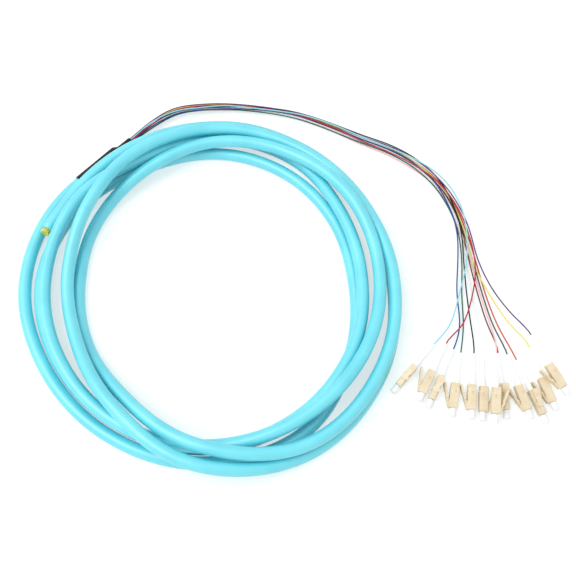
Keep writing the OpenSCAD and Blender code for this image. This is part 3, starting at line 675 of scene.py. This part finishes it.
def make_jacket(material):
    """The coiled cable with its wall showing round the open cut end."""
    path = jacket_path()
    outside, inside = JACKET_DIAMETER / 2, JACKET_BORE / 2
    outer = rings_round(path, outside, JACKET_SIDES)
    # The lowest laps lie flat on the table
    outer[..., 2] = np.maximum(outer[..., 2], 0)
    lip = np.array([(LIP_ROUNDING, outside - LIP_ROUNDING), (LIP_ROUNDING, inside + LIP_ROUNDING),
                    (0, inside), (-CUT_END_DEPTH, inside)])
    lip_rings = rings_on_line(CUT_PLACE, CUT_WAY, lip[:, 0], lip[:, 1:], JACKET_SIDES)
    piece = skin("jacket", [np.concatenate([outer, lip_rings])], [material])
    stand_in(piece, "cable_jacket")


def make_fiber(index, material):
    """One buffered fibre, from the sleeve to its connector."""
    name = COLORS[index]
    path = eased(fiber_path(index), FERRULE_REAR - BOOT_REAR + BOOT_LEAD)
    piece = skin("buffer_" + name, [rings_round(path, FIBER_DIAMETER / 2, FIBER_SIDES)], [material])
    stand_in(piece, "fiber_" + name)


# ---- Sleeve and cut end ----

def sleeve_outline():
    """Distance and radius along the sleeve: square rear edge, grip, cone, nose, and back into its bore."""
    half_jacket = JACKET_DIAMETER / 2
    grip, nose = SLEEVE_DIAMETER / 2, SLEEVE_NOSE_DIAMETER / 2
    outline = [(SLEEVE_LEAD_IN, half_jacket), (0, half_jacket + SLEEVE_GAP),
               (0, grip - SLEEVE_REAR_EDGE), (SLEEVE_REAR_EDGE, grip)]
    outline += [(x, grip) for x in np.arange(GRIP_RING_STEP, SLEEVE_GRIP, GRIP_RING_STEP)]
    for f in np.linspace(0, 1, CONE_RINGS):
        ease = f * f * (3 - 2 * f)
        outline.append((SLEEVE_GRIP + f * SLEEVE_CONE, grip + (nose - grip) * ease))
    nose_start = SLEEVE_GRIP + SLEEVE_CONE + NOSE_RING_STEP
    nose_end = SLEEVE_LENGTH - NOSE_RING_STEP / 2
    outline += [(x, nose) for x in np.arange(nose_start, nose_end, NOSE_RING_STEP)]
    bore = nose - SLEEVE_WALL
    return outline + [(SLEEVE_LENGTH - NOSE_EDGE, nose), (SLEEVE_LENGTH, nose - NOSE_EDGE),
                      (SLEEVE_LENGTH, bore), (SLEEVE_LENGTH - NOSE_BORE_SHOWN, bore)]


def make_sleeve(material):
    """Shrunk tube, puckered where it grips the jacket, with the fibres showing through its nose."""
    outline = np.array(sleeve_outline())
    along, radius = outline[:, :1], outline[:, 1:]
    a = turns(SLEEVE_SIDES)
    over_fibers = np.clip((along - SLEEVE_GRIP) / SLEEVE_CONE, 0, 1)
    lumps = LUMP_HEIGHT * over_fibers * np.cos(LUMP_COUNT * a + LUMP_TWIST * along)
    puckers = PUCKER_HEIGHT * np.sin(PUCKER_RATE * along + 2 * np.sin(2 * a)) * (1 - over_fibers)
    uneven = lumps + puckers
    # The first two rings lie against the jacket and stay round
    uneven[:2] = 0
    rings = rings_on_line(SLEEVE_REAR, START_WAY, along[:, 0], radius + uneven, SLEEVE_SIDES)
    piece = skin("fan_out_sleeve", [rings], [material], ring_distance=along[:, 0], caps=(False, True))
    stand_in(piece, "heat_shrink_sleeve")


def at_cut_end(along, radius, degrees):
    """A place by the cut end: distance past the jacket's edge, and place across it."""
    side = unit(np.cross(CUT_WAY, [0, 0, 1]))
    up = np.cross(side, CUT_WAY)
    a = math.radians(degrees)
    return CUT_PLACE + along * CUT_WAY + radius * (math.cos(a) * side + math.sin(a) * up)


def make_yarn(material):
    """The aramid yarn: a few hundred cut strands round the fibres, splayed a little."""
    draws = np.random.default_rng(YARN_SEED)
    strands = []
    for _ in range(STRAND_COUNT):
        direction = 360 * draws.random()
        radius = YARN_INNER + (YARN_OUTER - YARN_INNER) * draws.random()
        reach = YARN_OVERHANG * (1 + 0.5 * draws.random())
        splay = draws.normal(*YARN_SPLAY)
        twist = draws.normal(*YARN_TWIST)
        stops = np.array([-2, -0.2, 0.4 * reach, 0.75 * reach, reach])
        share = np.clip(stops / YARN_OVERHANG, 0, 1)
        path = []
        for along, f in zip(stops, share):
            splayed = min(radius + splay * f * f, YARN_WIDEST)
            path.append(at_cut_end(along, splayed, direction + twist * f))
        strands.append(rings_round(np.array(path), STRAND_RADIUS, STRAND_SIDES))
    stand_in(skin("yarn_tuft", strands, [material]), "aramid_yarn")


def make_stubs(buffer_materials):
    """The twelve fibre ends, cut off square inside the yarn."""
    stops = (-CUT_END_DEPTH, -2, 0, STUB_SHOWN)
    stubs = []
    for nest in NEST_OF:
        across, up = nest_place(nest)
        radius, degrees = math.hypot(across, up), math.degrees(math.atan2(up, across))
        path = np.array([at_cut_end(s, radius, degrees) for s in stops])
        stubs.append(rings_round(path, FIBER_DIAMETER / 2, FIBER_SIDES))
    stand_in(skin("fiber_stubs", stubs, [buffer_materials[name] for name in COLORS]), "inner_fibers")


def make_ripcord(material):
    """Three plies twisted round a line that wavers a little."""
    stops = np.linspace(-3, STUB_OVERHANG, RIPCORD_RINGS)
    path = np.array([at_cut_end(s, RIPCORD_RING + RIPCORD_WAVER * math.sin(2 * s), 0) for s in stops])
    plies = []
    for phase in PLY_PHASES:
        twist = 4 * stops + phase
        offset = PLY_OFFSET * np.stack([np.cos(twist), np.sin(twist), 0 * stops], 1)
        plies.append(rings_round(path + offset, PLY_RADIUS, PLY_SIDES))
    stand_in(skin("ripcord_end", plies, [material]), "ripcord")


# ---- Connectors ----

def finish_node(node, material, edge=0.0):
    """Gives a CAD node its material and soft moulded edges."""
    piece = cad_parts[node]
    piece.data.materials.clear()
    piece.data.materials.append(material)
    if edge:
        weld = piece.modifiers.new("weld", "WELD")
        weld.merge_threshold = WELD_DISTANCE * MM
        soften(piece, edge)


def make_lugs(material):
    """The sprung lugs that fill the housings' side windows, one sloped wedge in each."""
    half_height = LUG_HEIGHT / 2
    wall_face = HOUSING_WIDTH / 2
    ends = [(-WINDOW_LENGTH / 2, wall_face - LUG_REAR_DEPTH),
            (WINDOW_LENGTH / 2, wall_face - LUG_FRONT_DEPTH)]
    inner = wall_face - LUG_INNER_DEPTH
    # The faces of a block whose first four corners are at its rear end and last four at its front
    block = [(3, 2, 1, 0), (4, 5, 6, 7)]
    block += [(i, (i + 1) % 4, (i + 1) % 4 + 4, i + 4) for i in range(4)]
    points, faces = [], []
    for index in range(len(COLORS)):
        for side in (1, -1):
            first = len(points)
            for x, outer in ends:
                for y, z in ((inner, -1), (outer, -1), (outer, 1), (inner, 1)):
                    corner = (WINDOW_PLACE + x, side * y, side * z * half_height)
                    points.append(connector_point(index, corner))
            faces += [tuple(first + i for i in face) for face in block]
    mesh = bpy.data.meshes.new("snap_lugs")
    mesh.from_pydata(to_row(points).tolist(), [], faces)
    mesh.materials.append(material)
    piece = add_object("snap_lugs", mesh)
    soften(piece, LUG_EDGE)
    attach(piece, ROOT)


# ---- Stage, in metres ----

# How much light the floor gives back to the object and to the camera, and its glow to the camera alone
FLOOR_WHITE = 0.86
FLOOR_SEEN = 0.46
FLOOR_GLOW = 0.61
FLOOR_TINT = (0.92, 1, 1, 1)
FLOOR_REACH = 3
FLOOR_DROP = 0.0002
# What the white surroundings shine on the object with; the camera sees them at a strength of 1
WORLD_FILL = 0.84
KEY_PLACE = (-1.0, -0.1, 1.8)
KEY_SIZE = 1.2
KEY_POWER = 20.8


def seen_directly(nodes, links, strength, otherwise=0.0):
    """A strength for camera, glossy and transmission rays, and another for all the rest."""
    path = add_node(nodes, "ShaderNodeLightPath")
    either = path.outputs["Is Camera Ray"]
    for name in ("Is Glossy Ray", "Is Transmission Ray"):
        more = add_node(nodes, "ShaderNodeMath", operation="MAXIMUM")
        links.new(either, more.inputs[0])
        links.new(path.outputs[name], more.inputs[1])
        either = more.outputs[0]
    return ranged(nodes, links, either, otherwise, strength)


def make_floor():
    """A pale floor that shows white to the camera and keeps the object's shadow."""
    mesh = bpy.data.meshes.new("floor")
    corners = [(FLOOR_REACH * x, FLOOR_REACH * y, 0) for x, y in ((-1, -1), (1, -1), (1, 1), (-1, 1))]
    mesh.from_pydata(corners, [], [(0, 1, 2, 3)])
    floor = add_object("floor", mesh)
    floor.location.z = -FLOOR_DROP
    material = bpy.data.materials.new("floor")
    material.use_nodes = True
    nodes, links = material.node_tree.nodes, material.node_tree.links
    nodes.clear()
    output = add_node(nodes, "ShaderNodeOutputMaterial")
    matt = add_node(nodes, "ShaderNodeBsdfDiffuse")
    glow = add_node(nodes, "ShaderNodeEmission", Color=FLOOR_TINT)
    both = add_node(nodes, "ShaderNodeAddShader")
    links.new(seen_directly(nodes, links, FLOOR_SEEN, FLOOR_WHITE), matt.inputs["Color"])
    links.new(seen_directly(nodes, links, FLOOR_GLOW), glow.inputs["Strength"])
    links.new(matt.outputs[0], both.inputs[0])
    links.new(glow.outputs[0], both.inputs[1])
    links.new(both.outputs[0], output.inputs["Surface"])
    mesh.materials.append(material)


def make_world():
    """White all round, a little dimmer in what it shines on the object."""
    world = bpy.data.worlds.new("world")
    bpy.context.scene.world = world
    world.use_nodes = True
    nodes, links = world.node_tree.nodes, world.node_tree.links
    background = nodes["Background"]
    background.inputs["Color"].default_value = (1, 1, 1, 1)
    links.new(seen_directly(nodes, links, 1.0, WORLD_FILL), background.inputs["Strength"])


def make_key_light():
    """One large soft lamp, aimed at the middle of the part."""
    data = bpy.data.lights.new("key", "AREA")
    data.shape = "SQUARE"
    data.size = KEY_SIZE
    data.energy = KEY_POWER
    light = add_object("key", data)
    light.location = KEY_PLACE
    x, y, z = -unit(np.array(KEY_PLACE))
    light.rotation_euler = (math.acos(-z), 0, math.atan2(x, -y) + math.pi)


# ---- Everything, camera and cords first ----

make_camera()

buffers = {name: fiber_material(name) for name in COLORS}
make_jacket(jacket_material())
for color_index, color_name in enumerate(COLORS):
    make_fiber(color_index, buffers[color_name])

make_sleeve(shrink_material())
make_yarn(yarn_material())
make_stubs(buffers)
make_ripcord(moulded_plastic("ripcord", SHADES["ripcord"], roughness=0.6, grain=2600))

beige = moulded_plastic("beige_plastic", SHADES["housing"], roughness=0.4, grain=2200, scatter=0.08)
white_boot = moulded_plastic("boot_white", SHADES["boot"], roughness=0.5, grain=1800, scatter=0.1)
clear_cap = cap_material()
for color_name in COLORS:
    finish_node("housing_" + color_name, beige, HOUSING_EDGE)
    finish_node("latch_" + color_name, beige, LATCH_EDGE)
    finish_node("dust_cap_" + color_name, clear_cap)
make_lugs(beige)
finish_node("rear_bodies", white_boot)
finish_node("boots", white_boot)
finish_node("ferrules", moulded_plastic("zirconia", SHADES["zirconia"], roughness=0.15, grain=900))
finish_node("ferrule_flanges", metal("nickel", SHADES["nickel"], roughness=0.25, grain=4000))
finish_node("springs", metal("spring_steel", SHADES["steel"], roughness=0.3, grain=6000))

make_floor()
make_world()
make_key_light()
bpy.context.scene.view_settings.view_transform = "Standard"
